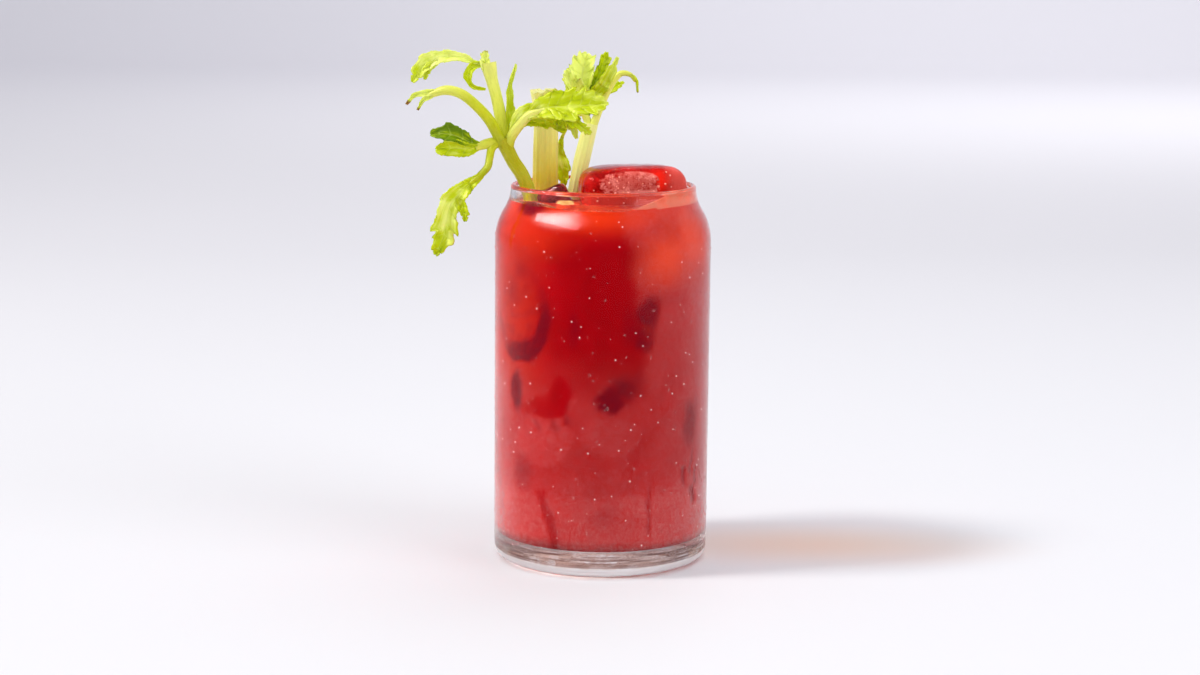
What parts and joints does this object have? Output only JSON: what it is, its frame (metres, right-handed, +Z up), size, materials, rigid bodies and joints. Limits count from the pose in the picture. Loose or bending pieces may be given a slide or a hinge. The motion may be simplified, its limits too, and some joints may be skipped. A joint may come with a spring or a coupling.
{
  "type": "bloody mary",
  "caption": "Can-shaped drinking glass filled with tomato cocktail, with leafy celery stalks standing in it and ice rising out of the drink.",
  "frame": {"origin": "middle of the glass's flat underside", "axes": "+Z up along the glass's axis, -Y towards the shown side, +X to its right"},
  "size_m": [0.1066, 0.076, 0.1795],
  "materials": {
    "clear_glass": "clear, smooth, misted with cold",
    "tomato_drink": "opaque red liquid, glossy at its top",
    "wet_ice": "wet, cloudy inside",
    "celery_green": "moist, satin",
    "celery_pale": "moist, satin, ribbed"
  },
  "bodies": {
    "root": {"glass": "clear_glass", "drink": "tomato_drink", "ice_large": "wet_ice", "ice_small": "wet_ice", "ice_chip": "wet_ice", "celery_left": "celery_green", "celery_middle": "celery_pale", "celery_right": "celery_green"}
  },
  "joints": []
}
